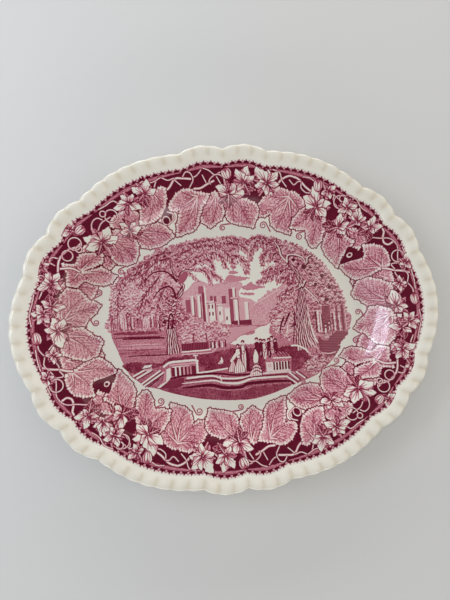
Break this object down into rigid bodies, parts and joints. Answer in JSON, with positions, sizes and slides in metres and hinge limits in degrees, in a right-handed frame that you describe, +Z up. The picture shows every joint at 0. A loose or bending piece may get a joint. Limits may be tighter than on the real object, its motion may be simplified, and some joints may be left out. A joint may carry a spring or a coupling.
{
  "type": "serving platter",
  "caption": "Oval china serving platter with a shallow well, a scalloped and gadrooned edge, a foot ring, and a printed leaf border and landscape under clear glaze.",
  "frame": {"origin": "middle of the foot ring, in the plane that it rests on", "axes": "+Z up, out of the face; +X along the long axis; +Y across it, towards the sky of the printed landscape"},
  "size_m": [0.3926, 0.316, 0.0368],
  "materials": {
    "earthenware": "glossy",
    "crimson_print": "glossy",
    "clear_glaze": "glossy"
  },
  "bodies": {
    "root": {"earthenware_body": "earthenware", "centre_transfer": "crimson_print", "face_glaze": "clear_glaze", "back_glaze": "clear_glaze", "base_glaze": "clear_glaze", "border_transfer_1": "crimson_print", "border_transfer_2": "crimson_print", "border_transfer_3": "crimson_print", "border_transfer_4": "crimson_print", "border_transfer_5": "crimson_print", "border_transfer_6": "crimson_print", "border_transfer_7": "crimson_print", "border_transfer_8": "crimson_print"}
  },
  "joints": []
}
